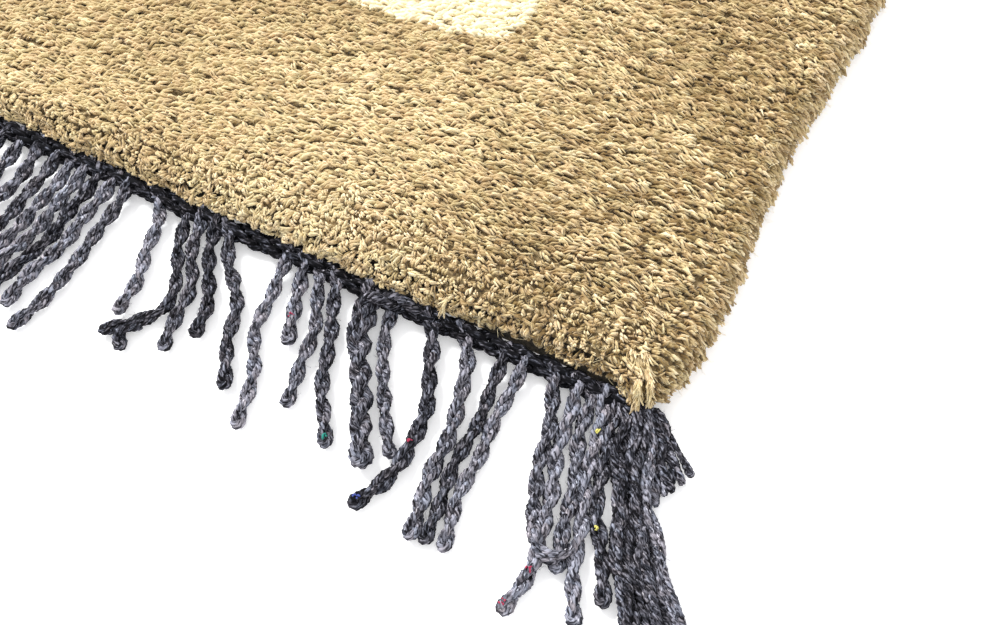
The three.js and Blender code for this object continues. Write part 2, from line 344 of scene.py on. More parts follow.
def strand_path(strand, step):
    """A strand's middle line: out of the front of the cord, down to the floor and along it."""
    x = RUG_HALF_WIDTH - strand["root"]
    reach = strand["reach"] - STRAND["loop"] * strand["width"] / NOMINAL_WIDTH
    drifts = [0, strand["quarter"], strand["half"], strand["three_quarters"], strand["tip"]]
    flat = [(x + drift, -reach * k / 4) for k, drift in enumerate(drifts)]
    leaves_at = min(LEAVES_CORD["at"], reach / 4)
    leaves_x = np.interp(leaves_at, [0, reach / 4], [flat[0][0], flat[1][0]])
    places = [
        (x - 0.3 * strand["quarter"], LEAVES_CORD["inside"], STRAND["centre"] + LEAVES_CORD["root_rise"]),
        (leaves_x, -leaves_at, STRAND["centre"] + LEAVES_CORD["rise"]),
    ]
    for (px, py), low in zip(flat[1:], (LEAVES_CORD["settles"], 0.0, 0.0, 0.0)):
        places.append((px, py, STRAND["centre"] * strand["width"] / NOMINAL_WIDTH + low))
    path = smooth_path(places, step)
    untwisted = strand["root"] < UNTWISTED_WITHIN
    along = np.linspace(0, reach, len(path))
    grows = np.minimum(1, along / SWING["grows_over"])
    swing = SWING["untwisted"] if untwisted else SWING["twisted"]
    path[:, 0] += swing * np.sin(along / 4.3 + strand["root"] * 2.1) * grows
    if untwisted:
        path[:, 2] += SWING["lift"] * (1 + np.sin(along / 7.1 + strand["root"] * 3.7)) * grows
    return path


def add_ply(yarns, path, scale, start, tint):
    """One ply close to the camera: two singles wound the other way round each other."""
    paths = []
    for turn in (0, math.pi):
        paths.append(wound(path, STRAND_SINGLES["offset"] * scale, -STRAND_SINGLES["pitch"], start + turn))
    paths = np.array(paths)
    place = np.arange(len(path)) * SINGLE_STEP
    slubs = 1 + 0.1 * np.sin(place * 0.55 + start * 5) + 0.07 * np.sin(place * 1.3 + start)
    yarns.add(paths, STRAND_SINGLES["radius"] * scale * slubs, 5, tint=tint)


def add_strand(yarns, path, width, close, seed, pitch=STRAND["pitch"]):
    """Two plies twisted together: one runs out, turns in a round loop and comes back."""
    scale = width / NOMINAL_WIDTH
    length = np.linalg.norm(np.diff(path, axis=0), axis=1).sum()
    start = 2 * math.pi * length / pitch + 0.8 * (chance(seed, 3) - 0.5)
    out_ply = wound(path, STRAND["ply_offset"] * scale, pitch, start)
    back_ply = wound(path, STRAND["ply_offset"] * scale, pitch, start + math.pi)
    ahead = path[-1] - path[-2]
    side = out_ply[-1] - path[-1]
    ahead = ahead * np.linalg.norm(side) / np.linalg.norm(ahead)
    turns = np.linspace(0, math.pi, 7)[1:-1, None]
    loop = path[-1] + side * np.cos(turns) + ahead * np.sin(turns)
    yarn = np.vstack([out_ply, loop, back_ply[::-1]])
    if close:
        add_ply(yarns, yarn, scale, seed * 1.3, chance(seed, 4))
    else:
        radius = (STRAND_SINGLES["offset"] + STRAND_SINGLES["radius"]) * 0.97 * scale
        yarns.add(yarn[None], radius, 5, tint=chance(seed, 4))


def twined_cord(yarns):
    """The cord from side to side: three plies of two singles each, twined over the warps."""
    length = 2 * RUG_HALF_WIDTH + 4
    steps = int(length / 1.2)
    middle = np.zeros((steps, 3))
    middle[:, 0] = np.linspace(-length / 2, length / 2, steps)
    middle[:, 1] = 0.35 * np.sin(middle[:, 0] / 13) - CORD["out"]
    middle[:, 2] = CORD["centre"] + 0.3 * np.sin(middle[:, 0] / 9 + 1)
    for ply in range(CORD["plies"]):
        path = wound(middle, CORD["ply_offset"], CORD["pitch"], 2 * math.pi * ply / CORD["plies"])
        for turn in (0, math.pi):
            single = wound(path, CORD_SINGLES["offset"], -CORD_SINGLES["pitch"], turn)
            yarns.add(single[None], CORD_SINGLES["radius"], 5, tint=CORD_TINT_AND_PAINTED_SHADE)


def corner_fan(yarns, fan, seed):
    """Unplied yarns that spread from the cord, one over the next."""
    for k in range(fan["count"]):
        share = k / (fan["count"] - 1)
        ends = (fan["roots"], fan["tips"], fan["reach"], fan["bow"])
        root, tip, reach, bow = [first + share * (last - first) for first, last in ends]
        tip = tip + 1.2 * (chance(k, seed) - 0.5)
        reach = reach - 3 * chance(k, seed + 1)
        z = 1.5 + 2.4 * chance(k, seed + 2)
        places = []
        for part in (0, 0.15, 0.4, 0.7, 1):
            drift = root + (tip - root) * part - bow * 4 * part * (1 - part)
            wave = 1.2 * math.sin(9 * part + 2.3 * k)
            places.append((RUG_HALF_WIDTH - drift + wave, -reach * part, z + 3.2 * (1 - part) ** 3))
        add_ply(yarns, smooth_path(places, SINGLE_STEP), 0.98, k * 1.9, chance(k, seed + 3))


def add_fuzz(yarns, path, width, count, random):
    """Stray fibres that stand out of a strand."""
    ahead, across, above = path_frame(path)
    at = random.integers(2, len(path) - 1, count)
    angle = random.uniform(-0.2, math.pi + 0.2, count)[:, None]
    outward = np.cos(angle) * across[at] + np.sin(angle) * above[at]
    start = path[at] + outward * width * 0.4
    way = outward * random.uniform(0.5, 1.5, (count, 1)) + ahead[at] * random.normal(0, 1.3, (count, 1))
    curl = random.normal(0, 0.4, (count, 3))
    paths = np.stack([start, start + 0.5 * way + curl, start + way], axis=1)
    yarns.add(paths, FUZZ_RADIUS * np.array([1.0, 0.9, 0.5]), 3, tint=random.uniform(0.2, 1.1, count))


def noise(nodes, links, place, scale, detail):
    """Noise over the given places."""
    texture = nodes.new("ShaderNodeTexNoise")
    texture.inputs["Scale"].default_value = scale
    texture.inputs["Detail"].default_value = detail
    links.new(place, texture.inputs["Vector"])
    return texture.outputs["Fac"]


def colour_ramp(nodes, links, value, stops):
    """The colours at the given positions, blended in between."""
    ramp = nodes.new("ShaderNodeValToRGB")
    elements = ramp.color_ramp.elements
    elements[0].position, elements[0].color = stops[0]
    elements[1].position, elements[1].color = stops[-1]
    for position, colour in stops[1:-1]:
        elements.new(position).color = colour
    links.new(value, ramp.inputs["Fac"])
    return ramp.outputs["Color"]


def times(nodes, links, colour, by):
    """One colour multiplied by another."""
    mix = nodes.new("ShaderNodeMix")
    mix.data_type = "RGBA"
    mix.blend_type = "MULTIPLY"
    mix.inputs["Factor"].default_value = 1.0
    links.new(colour, mix.inputs["A"])
    links.new(by, mix.inputs["B"])
    return mix.outputs["Result"]


def raised(nodes, links, shader, height, distance, strength):
    """Relief on the surface, in metres."""
    bump = nodes.new("ShaderNodeBump")
    bump.inputs["Distance"].default_value = distance
    bump.inputs["Strength"].default_value = strength
    links.new(height, bump.inputs["Height"])
    links.new(bump.outputs["Normal"], shader.inputs["Normal"])
    return bump


def yarn_attributes(nodes, links, scale):
    """What Yarns stores: the place in the yarn, the same drawn out along it, and the tint, which holds the
    yarn's own tone and, in the pile and the cord, painted light and shade.
    """
    place = nodes.new("ShaderNodeAttribute")
    place.attribute_name = "yarn_place"
    stretch = nodes.new("ShaderNodeMapping")
    stretch.inputs["Scale"].default_value = scale
    links.new(place.outputs["Vector"], stretch.inputs["Vector"])
    tint = nodes.new("ShaderNodeAttribute")
    tint.attribute_name = "tint"
    return place.outputs["Vector"], stretch.outputs["Vector"], tint.outputs["Fac"]


def charcoal_yarn():
    """Charcoal wool: dark and light fibres, pale flecks, and the dye a little uneven."""
    material, nodes, links, shader = new_material("charcoal_yarn", 0.85)
    shader.inputs["Specular IOR Level"].default_value = 0.1
    place, stretched, tint = yarn_attributes(nodes, links, (1.4, 1.4, 0.55))
    fibres = noise(nodes, links, stretched, 1.0, 4.0)
    lighter = nodes.new("ShaderNodeMath")
    lighter.operation = "MULTIPLY_ADD"
    lighter.inputs[1].default_value = 0.16
    links.new(tint, lighter.inputs[0])
    links.new(fibres, lighter.inputs[2])
    shades = colour_ramp(nodes, links, lighter.outputs["Value"], [
        (0.47, (0.003, 0.003, 0.004, 1)), (0.58, (0.045, 0.045, 0.053, 1)), (0.76, (0.31, 0.31, 0.345, 1))])
    fleck_noise = noise(nodes, links, stretched, 1.5, 1.0)
    flecks = colour_ramp(nodes, links, fleck_noise, [(0.66, (0, 0, 0, 1)), (0.72, (1, 1, 1, 1))])
    flecked = nodes.new("ShaderNodeMath")
    flecked.operation = "MULTIPLY"
    flecked.use_clamp = True
    links.new(flecks, flecked.inputs[0])
    links.new(tint, flecked.inputs[1])
    mix = nodes.new("ShaderNodeMix")
    mix.data_type = "RGBA"
    mix.inputs["B"].default_value = (0.62, 0.62, 0.66, 1)
    links.new(flecked.outputs["Value"], mix.inputs["Factor"])
    links.new(shades, mix.inputs["A"])
    dye_noise = noise(nodes, links, place, 0.16, 2.0)
    dye = colour_ramp(nodes, links, dye_noise, [
        (0.36, (0.92, 0.97, 1.07, 1)), (0.66, (1.06, 0.98, 0.98, 1))])
    dyed = times(nodes, links, mix.outputs["Result"], dye)
    links.new(dyed, shader.inputs["Base Color"])
    raised(nodes, links, shader, fibres, 0.0005, 1.0)
    return material


yarn_material = charcoal_yarn()
fuzz_random = np.random.default_rng(55)
last_corner_root = CORNER_STRANDS[-1]["root"]
front_yarns = Yarns()
for count, strand in enumerate(CORNER_STRANDS):
    pitch = UNTWISTED_PITCH if strand["root"] < UNTWISTED_WITHIN else STRAND["pitch"]
    path = strand_path(strand, SINGLE_STEP)
    add_strand(front_yarns, path, strand["width"], True, count * 1.7, pitch)
    add_fuzz(front_yarns, path, strand["width"], FUZZ_ON_STRAND, fuzz_random)
for seed, fan in enumerate(CORNER_FANS):
    corner_fan(front_yarns, fan, 40 + seed)
for count, end in enumerate(LOOSE_ENDS.values()):
    bends = [(RUG_HALF_WIDTH - root, -reach, z) for root, reach, z in end["bends"]]
    add_strand(front_yarns, smooth_path(bends, SINGLE_STEP), end["width"], True, count * 2.3)
front_plain = Yarns()
for count, strand in enumerate(plain_strands(last_corner_root + PLAIN_PITCH, 3)):
    add_strand(front_plain, strand_path(strand, PLAIN_STEP), strand["width"], False, count * 1.7)
twined_cord(front_plain)
back_yarns = Yarns()
for count, strand in enumerate(plain_strands(-1, 11)):
    add_strand(back_yarns, strand_path(strand, PLAIN_STEP), strand["width"], False, count * 1.7)
twined_cord(back_yarns)

# Specks of coloured wool are caught in a few of the strands.
SPECKS = [
    {"root": 109.0, "reach": 53.0, "colour": "green"}, {"root": 122.0, "reach": 21.0, "colour": "red"},
    {"root": 23.5, "reach": 62.0, "colour": "red"}, {"root": 23.5, "reach": 74.0, "colour": "red"},
    {"root": 75.0, "reach": 66.0, "colour": "blue"}, {"root": 75.0, "reach": 43.0, "colour": "red"},
    {"root": 14.0, "reach": 14.0, "colour": "yellow"}, {"root": 10.0, "reach": 42.0, "colour": "yellow"},
]
SPECK_COLOURS = {
    "green": (0.01, 0.2, 0.16), "red": (0.32, 0.02, 0.06),
    "blue": (0.04, 0.06, 0.26), "yellow": (0.6, 0.55, 0.14),
}
SPECK_FIBRES = 6
SPECK_RADIUS = 0.32
strands_by_root = {strand["root"]: strand for strand in CORNER_STRANDS}
speck_pieces = []
for colour, shade in SPECK_COLOURS.items():
    speck_yarns = Yarns()
    for speck in SPECKS:
        if speck["colour"] == colour:
            path = strand_path(strands_by_root[speck["root"]], SINGLE_STEP)
            middle = path[np.argmin(np.abs(path[:, 1] + speck["reach"]))] + [-0.5, 0, 2.0]
            start = middle + fuzz_random.normal(0, 0.4, (SPECK_FIBRES, 3))
            way = fuzz_random.normal(0, 0.35, (SPECK_FIBRES, 3)) * [0.6, 1.0, 0.4]
            paths = np.stack([start - way, start + [0, 0, 0.2], start + way], axis=1)
            speck_yarns.add(paths, SPECK_RADIUS * np.array([0.6, 1.0, 0.6]), 5)
    speck_wool, _, _, speck_shader = new_material(f"{colour}_wool", 0.85)
    speck_shader.inputs["Base Color"].default_value = (*shade, 1)
    speck_pieces.append(speck_yarns.piece(f"{colour}_specks", speck_wool))

front_fringe = front_yarns.piece("front_fringe", yarn_material)
front_cord = front_plain.piece("front_cord", yarn_material)
back_fringe = back_yarns.piece("back_fringe", yarn_material)
for piece in [front_fringe, front_cord] + speck_pieces:
    piece.data.transform(Matrix.Translation((0, -CORD_FROM_MIDDLE * MM, 0)))
back_fringe.data.transform(Matrix.Rotation(math.pi, 4, "Z"))
back_fringe.data.transform(Matrix.Translation((0, CORD_FROM_MIDDLE * MM, 0)))
for piece in [front_fringe, front_cord, back_fringe] + speck_pieces:
    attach(piece, "root")
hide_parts("fringe_front")
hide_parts("fringe_back")

# The pile: two-ended wool knots stand in rows across the warps and are cut at one height. Each
# cut end is a little lock of wool that lies over to one side. It is khaki, with an ivory
# medallion. Towards the rim the locks fan out and hang over the edge.
PILE_TOP = 14.6
RIM = {
    "across": 7.0, "down": 11.0, "end_down": 7.6,
    "end_over": 2.4, "end_tuck": 2.2, "side_in": 1.0, "uneven": 1.0,
}
CORNER_RADIUS = 14.0
WANDER_DEPTH = 60.0
SWELL = {"out": 7.2, "from_corner": 30.0, "spread": 33.0}
FRONT_CORNER = {"out": 5.5, "across": 17.0, "along": 22.0}
ROW_PITCH = 3.7
LOCK_PITCH = 1.8
BODY_DEPTH = 1.7
NAP_REACH = 4.6
NAP_ANGLE = {"left": 26, "right_turn": -30, "drift": 9, "tuft": 15, "lock": 15}
FAR_SCALE = 3.5
FLAKE = (8.5, ROW_PITCH, math.radians(17))
KNOT = (3.0, 2.9)

# Kinds of lock: slivers of wool in the lock of a round knot and in every other lock, how far
# they spread, their radius, how much their shades differ (tuft to tuft, and the painted shade
# in hollows and at roots), and a shift of the shade as a whole, which on the far locks is
# painted shade, standing in for the shade that finer wool casts among itself
NEAR_LOCKS = {
    "slivers": 3, "everywhere": 2, "spread": 0.5, "radius": 0.6, "contrast": 1.0, "shade": 0.0}
IVORY_LOCKS = {
    "slivers": 2, "everywhere": 2, "spread": 0.75, "radius": 0.95, "contrast": 0.4, "shade": 0.0}
FAR_LOCKS = {
    "slivers": 1, "everywhere": 1, "spread": 0.0, "radius": 0.8, "contrast": 0.45, "shade": -0.06}
LOCK_SIDES = 3
MEDALLION = {"half_width": 194.0, "half_length": 358.5, "point": 24.0, "shoulder": 13.0}


def soft_noise(x, y, seed):
    """Smooth noise between -1 and 1, one bump to each unit."""
    left, low = np.floor(x), np.floor(y)
    fx, fy = x - left, y - low
    fx, fy = fx * fx * (3 - 2 * fx), fy * fy * (3 - 2 * fy)

    def lattice(i, j):
        return (np.sin(i * 127.1 + j * 311.7 + seed * 74.7) * 43758.5453) % 1.0

    bottom = lattice(left, low) * (1 - fx) + lattice(left + 1, low) * fx
    top = lattice(left, low + 1) * (1 - fx) + lattice(left + 1, low + 1) * fx
    return 2 * (bottom * (1 - fy) + top * fy) - 1


def grade(value, start, end):
    """0 up to the start, 1 from the end on, and evenly in between."""
    return np.clip((value - start) / (end - start), 0, 1)


def side_wander(x, y):
    """How far the side edges stand out or in at a place, fading towards the middle."""
    side = np.sign(x)
    near = np.clip(1 - (RUG_HALF_WIDTH - np.abs(x)) / WANDER_DEPTH, 0, 1)
    wander = 1.1 * np.sin(y / 47 + side) + 0.8 * np.sin(y / 21 + 2 * side)
    from_swell = (y + RUG_HALF_LENGTH - SWELL["from_corner"]) / SWELL["spread"]
    swell = SWELL["out"] * np.exp(-(from_swell**2) / 2)
    return side * near * (wander + np.where(side > 0, swell, 0))


def corner_stands_out(x, y):
    """How far the wool of the front right corner stands out over the cord."""
    across = np.clip((x - RUG_HALF_WIDTH) / FRONT_CORNER["across"] + 1, 0, 0.5) * 2
    along = np.clip(-(y + RUG_HALF_LENGTH) / FRONT_CORNER["along"] + 1, 0, 1)
    return FRONT_CORNER["out"] * across * along


rim_turn = np.linspace(0, math.pi / 2, 65)
rim_speed = np.hypot(RIM["across"] * np.cos(rim_turn), RIM["down"] * np.sin(rim_turn))
rim_along = np.concatenate([[0], np.cumsum((rim_speed[1:] + rim_speed[:-1]) / 2 * np.diff(rim_turn))])
RIM_LENGTH = rim_along[-1]
EDGE_ADDS = RIM_LENGTH - RIM["across"]


def pile_surface(u, v):
    """Places on the cut surface, unrolled over the rim: the point, its normal, and which way is out."""
    core = np.array([RUG_HALF_WIDTH - CORNER_RADIUS, RUG_HALF_LENGTH - CORNER_RADIUS])
    place = np.column_stack([u, v])
    beyond = place - np.clip(place, -core, core)
    far = np.linalg.norm(beyond, axis=1)
    out = beyond / np.maximum(far, 1e-9)[:, None]
    along = np.clip(far - (CORNER_RADIUS - RIM["across"]), 0, RIM_LENGTH)
    turn = np.interp(along, rim_along, rim_turn)
    over = far > CORNER_RADIUS - RIM["across"]
    at_end = out[:, 1] ** 2
    real = np.where(over, CORNER_RADIUS - RIM["across"] + RIM["across"] * np.sin(turn), far)
    pushed = RIM["end_over"] * at_end - RIM["side_in"] * (1 - at_end)
    pushed = pushed + RIM["uneven"] * soft_noise(u / 5, v / 5, 12)
    pushed = pushed - RIM["end_tuck"] * at_end * grade(u, 237, 247)
    real = real + np.sin(turn) * pushed
    flat = place - beyond + out * real[:, None]
    flat[:, 1] -= corner_stands_out(flat[:, 0], flat[:, 1])
    flat[:, 0] += side_wander(flat[:, 0], flat[:, 1])
    down = RIM["down"] + (RIM["end_down"] - RIM["down"]) * at_end
    height = PILE_TOP - down * (1 - np.cos(turn))
    lean = np.column_stack([out * (np.sin(turn) / RIM["across"])[:, None], np.cos(turn) / down])
    normal = lean / np.linalg.norm(lean, axis=1, keepdims=True)
    return np.column_stack([flat, height]), normal, out, turn


def close_to_camera(x, y):
    """Inside the part of the pile that the photographed view takes in, with a margin."""
    above_top_edge = (y + 404.2) - (x - 9.5) * (156.4 / 290.5)
    beyond_left_edge = 52.2 - (y + 455.0) * (42.7 / 50.8) - x
    return (above_top_edge < 10) & (beyond_left_edge < 4)


def in_medallion(x, y):
    """A long medallion in the middle: upright sides, rounded shoulders, shallow pointed ends."""
    ax, ay = np.abs(x), np.abs(y)
    end = MEDALLION["half_length"] - MEDALLION["point"] * (ax / MEDALLION["half_width"] - 0.5)
    in_x = np.maximum(ax - (MEDALLION["half_width"] - MEDALLION["shoulder"]), 0)
    in_y = np.maximum(ay - (end - MEDALLION["shoulder"]), 0)
    return np.hypot(in_x, in_y) < MEDALLION["shoulder"]


def knot_rows(scale, random):
    """Places of the cut ends over the unrolled surface: two lines to each row of knots."""
    half_x, half_y = RUG_HALF_WIDTH + EDGE_ADDS, RUG_HALF_LENGTH + EDGE_ADDS
    pitch = ROW_PITCH * scale
    places = []
    for row in range(int(2 * half_y / pitch)):
        for line in (-0.24, 0.24):
            v = -half_y + (row + 0.5 + line) * pitch
            u = np.arange(-half_x, half_x, LOCK_PITCH * scale)
            u = u + random.uniform(-0.5, 0.5, len(u)) * LOCK_PITCH * scale
            drift = 0.24 * pitch * soft_noise(u / (12 * scale), np.full(len(u), row * 7.77), 5)
            jitter = random.uniform(-0.42, 0.42, len(u)) * scale
            parted = np.clip(soft_noise(u / 15, np.full(len(u), row * 3.3 + 0.5), 6) - 0.35, 0, 1)
            places.append(np.column_stack([u, v + drift + jitter + line * 1.9 * parted * scale, parted]))
    places = np.vstack(places)
    core = np.array([RUG_HALF_WIDTH - CORNER_RADIUS, RUG_HALF_LENGTH - CORNER_RADIUS])
    beyond = places[:, :2] - np.clip(places[:, :2], -core, core)
    return places[np.linalg.norm(beyond, axis=1) < CORNER_RADIUS + EDGE_ADDS]


def standing(x, y):
    """How upright the locks stand, from 0 to 1: at the front rim, in a wider band to the right."""
    front = RUG_HALF_LENGTH + y
    band = 4 + 22 * grade(x, 60, 190)
    return np.exp(-((front / band) ** 2))


def tufts(u, v, length, width, slant, seed):
    """The tuft each lock belongs to, and its place in it, along and across, from -0.5 to 0.5."""
    column = u / length + 0.9 * soft_noise(v / 5, u / 23, seed)
    along = column - np.floor(column) - 0.5
    row = (v - math.tan(slant) * along * length) / width + 0.3 * soft_noise(u / 9, v / 9, seed + 1)
    across = row - np.floor(row) - 0.5
    number = np.floor(column) * 17.13 + np.floor(row) * 5.71
    return number, along, across


def of_tuft(number, kind):
    """A fixed number between -1 and 1 for each tuft and kind."""
    return 2 * ((np.sin(number * 12.9898 + kind * 78.233) * 43758.5453) % 1.0) - 1


def add_locks(yarns, places, scale, kind, random, tint):
    """Each lock is a few slivers of wool that share its lie, height and shade."""
    count = len(places)
    places = places.copy()
    upright = standing(places[:, 0], places[:, 1])
    knotty = upright + 0.25 * soft_noise(places[:, 0] / 6, places[:, 1] / 6, 14) > 0.42
    flake, flake_along, flake_across = tufts(
        places[:, 0], places[:, 1], FLAKE[0] * scale, FLAKE[1] * scale, FLAKE[2], 15)
    knot, knot_along, knot_across = tufts(
        places[:, 0], places[:, 1], KNOT[0] * scale, KNOT[1] * scale, 0.0, 18)
    number = np.where(knotty, knot + 0.37, flake)
    crown = np.where(knotty, 4 * (knot_along**2 + knot_across**2), 4 * flake_across**2)
    drawn_in = np.where(knotty, 0.3 * knot_across * KNOT[1], 0.25 * flake_across * FLAKE[1])
    places[:, 0] -= np.where(knotty, 0.3 * knot_along * KNOT[0], 0) * scale
    places[:, 1] -= drawn_in * scale
    point, normal, out, turn = pile_surface(places[:, 0], places[:, 1])
    x, y = point[:, 0], point[:, 1]
    angle = NAP_ANGLE["left"] + NAP_ANGLE["right_turn"] * np.clip((x - 150) / 130, 0, 1.2)
    angle = angle + NAP_ANGLE["drift"] * soft_noise(x / 34, y / 34, 1)
    angle = angle + NAP_ANGLE["tuft"] * of_tuft(number, 1)
    angle = np.radians(angle + random.normal(0, NAP_ANGLE["lock"], count))
    reach = NAP_REACH * (1 + 0.25 * of_tuft(number, 2)) * (1 - 0.86 * upright)
    nap = np.column_stack([np.cos(angle), np.sin(angle)]) * reach[:, None]
    nap = nap + (0.3 + 1.2 * upright)[:, None] * random.normal(0, 1, (count, 2))
    at_right = np.exp(-(((RUG_HALF_WIDTH - x) / 12) ** 2))[:, None]
    at_right = at_right * (1 + 0.5 * of_tuft(number, 3))[:, None]
    spread_out = np.array([1.4, 0.3]) + random.normal(0, 0.9, (count, 2))
    nap = nap * (1 - 0.7 * np.minimum(at_right, 1)) + at_right * spread_out
    down = np.column_stack([out * (np.cos(turn) + 0.4 * np.sin(turn))[:, None], -0.7 * np.sin(turn)])
    along_edge = np.column_stack([-out[:, 1], out[:, 0], np.zeros(count)])
    outward = np.sum(nap * out, axis=1) + 1.3 * np.sin(turn) * (1 - 0.8 * out[:, 1] ** 2)
    sideways = nap[:, 1] * out[:, 0] - nap[:, 0] * out[:, 1]
    wrapped = outward[:, None] * down + sideways[:, None] * along_edge
    lying = np.where((turn > 0)[:, None], wrapped, np.column_stack([nap, np.zeros(count)])) * scale**0.5
    flat_share = np.clip(np.linalg.norm(lying, axis=1) / NAP_REACH, 0, 1)
    uneven = 0.4 * of_tuft(number, 4) + random.normal(0, 0.22, count) - 0.7 * crown - 0.8 * places[:, 2]
    surface = point + normal * (0.45 + uneven)[:, None]
    depth = BODY_DEPTH + 0.6 - 0.9 * flat_share
    root = surface - normal * depth[:, None] - 0.5 * lying
    middle = surface + normal * (0.1 - 0.15 * (1 - flat_share))[:, None]
    tip = surface + 0.5 * lying + normal * (0.15 - 0.75 * flat_share)[:, None]
    ahead = tip - root
    side = np.column_stack([-ahead[:, 1], ahead[:, 0], np.zeros(count)])
    side /= np.linalg.norm(side, axis=1, keepdims=True) + 1e-9
    above = np.cross(side, ahead)
    above /= np.linalg.norm(above, axis=1, keepdims=True) + 1e-9
    lock_size = random.uniform(0.78, 1.25, count) * scale
    first = random.uniform(0, 2 * np.pi, count)
    # How strongly the tone differs from tuft to tuft, and how deep the painted shade is, rising towards the
    # right side and the corner
    near_corner = grade(x, 200, 240) * grade(-y, 270, 380)
    contrast = (0.3 + 0.6 * grade(x, 90, 220)) * (1 + 0.85 * near_corner + 0.4 * grade(x, 255, 285))
    contrast = contrast * kind["contrast"]
    # Painted shade: darker in the hollows between tufts and down the rim where the pile turns over; a touch
    # of painted light on upright locks
    painted_hollow_shade = 0.16 * (np.clip(crown, 0, 1.5) - 0.35)
    tint = tint + contrast * (0.13 * of_tuft(number, 5) - painted_hollow_shade) + 0.01 * upright - 0.14 * np.sin(turn)
    for sliver in range(kind["slivers"]):
        chosen = np.arange(count) if sliver < kind["everywhere"] else np.flatnonzero(knotty)
        if not len(chosen):
            continue
        turned = (first[chosen] + sliver * 2 * np.pi / kind["slivers"])[:, None]
        beside = np.cos(turned) * side[chosen] + np.sin(turned) * above[chosen]
        beside = beside * (lock_size[chosen] * kind["spread"])[:, None]
        frayed = random.normal(0, 0.2, (len(chosen), 3)) * scale
        slid = random.uniform(-0.25, 0.25, (len(chosen), 1)) * lying[chosen]
        paths = np.stack([
            root[chosen] + 0.6 * beside + slid,
            middle[chosen] + beside + 0.6 * frayed + slid,
            tip[chosen] + 1.2 * beside + frayed + slid,
        ], axis=1)
        size = (kind["radius"] * lock_size[chosen] * random.uniform(0.75, 1.2, len(chosen)))[:, None]
        flutes = random.uniform(0.75, 1.25, (len(chosen), LOCK_SIDES))
        shade = tint[chosen] + random.normal(0, 0.1, len(chosen)) * contrast[chosen]
        # Each sliver is darker towards its root: painted shade in the depth of the pile
        yarns.add(
            paths, size * np.array((0.8, 1.0, 0.62)), LOCK_SIDES,
            up=side[chosen], tint=shade, flutes=flutes, root_shade=-0.5 * contrast[chosen],
        )
    return tip, lying


def wool(name, dark, middle, light, relief):
    """Matt wool: lighter and darker fibres along each lock, and a slight change of hue in patches."""
    material, nodes, links, shader = new_material(name, 0.85)
    shader.inputs["Sheen Weight"].default_value = 0.2
    shader.inputs["Sheen Roughness"].default_value = 0.45
    shader.inputs["Specular IOR Level"].default_value = 0.3
    _, stretched, tint = yarn_attributes(nodes, links, (3.0, 3.0, 0.5))
    fibres = noise(nodes, links, stretched, 1.0, 3.0)
    blend = nodes.new("ShaderNodeMath")
    blend.operation = "MULTIPLY_ADD"
    blend.inputs[1].default_value = 0.9
    links.new(fibres, blend.inputs[0])
    shift = nodes.new("ShaderNodeMath")
    shift.operation = "MULTIPLY_ADD"
    shift.inputs[1].default_value = 0.8
    shift.inputs[2].default_value = -0.355
    links.new(tint, shift.inputs[0])
    links.new(shift.outputs["Value"], blend.inputs[2])
    shades = colour_ramp(nodes, links, blend.outputs["Value"], [(0.12, dark), (0.5, middle), (0.95, light)])
    place = nodes.new("ShaderNodeTexCoord")
    hue_noise = noise(nodes, links, place.outputs["Object"], 190.0, 2.0)
    hue = colour_ramp(nodes, links, hue_noise, [(0.38, (0.97, 1.0, 0.97, 1)), (0.62, (1.0, 0.97, 0.98, 1))])
    dyed = times(nodes, links, shades, hue)
    links.new(dyed, shader.inputs["Base Color"])
    raised(nodes, links, shader, fibres, 0.0005, relief)
    return material


khaki_wool = wool(
    "khaki_wool", (0.24, 0.155, 0.058, 1), (0.59, 0.445, 0.232, 1), (0.92, 0.79, 0.52, 1), 0.7)
ivory_wool = wool(
    "ivory_wool", (0.78, 0.66, 0.42, 1), (0.84, 0.74, 0.50, 1), (0.89, 0.79, 0.55, 1), 0.25)


# The tint of the pile drifts in patches and from lock to lock, as hand-dyed wool does. The broad
# steps towards the left, the right, the right side and further in are painted light and shade,
# partly the wool's own tone: lighter and darker bands for how the light falls over the rug and
# against the nap
PILE_TINT_AND_PAINTED_LIGHT = {
    "middle": 0.72, "patches": 0.08, "lock": 0.08, "right": 0.09, "right_side_painted_shade": -0.21,
    "left": -0.135, "further_in": -0.23, "further_in_right": 0.11,
}


def pile(name, places, scale, kind, seed, material):
    """The locks at some of the places as one piece, with the tips for the loose fibres."""
    random = np.random.default_rng(seed)
    x, y = places[:, 0], places[:, 1]
    tint = PILE_TINT_AND_PAINTED_LIGHT["middle"] + PILE_TINT_AND_PAINTED_LIGHT["patches"] * soft_noise(x / 38, y / 30, 8)
    # Broad bands of painted light and shade across the rug, and a darker tint on the far locks as painted
    # shade
    tint = tint + PILE_TINT_AND_PAINTED_LIGHT["right"] * grade(x, 90, 170) + PILE_TINT_AND_PAINTED_LIGHT["right_side_painted_shade"] * grade(x, 190, 240)
    tint = tint + PILE_TINT_AND_PAINTED_LIGHT["left"] * grade(-x, -210, -90) + kind["shade"]
    further_in = PILE_TINT_AND_PAINTED_LIGHT["further_in"] + PILE_TINT_AND_PAINTED_LIGHT["further_in_right"] * grade(x, 150, 210)
    tint = tint + further_in * grade(y, -425, -350)
    tint = tint + random.normal(0, PILE_TINT_AND_PAINTED_LIGHT["lock"], len(places))
    yarns = Yarns()
    tips = add_locks(yarns, places, scale, kind, random, tint)
    return yarns.piece(name, material), tips


def parts_of(places, most):
    """The places in bands from front to back, none of them with more places than given."""
    order = np.argsort(places[:, 1], kind="stable")
    return [places[band] for band in np.array_split(order, math.ceil(len(places) / most))]


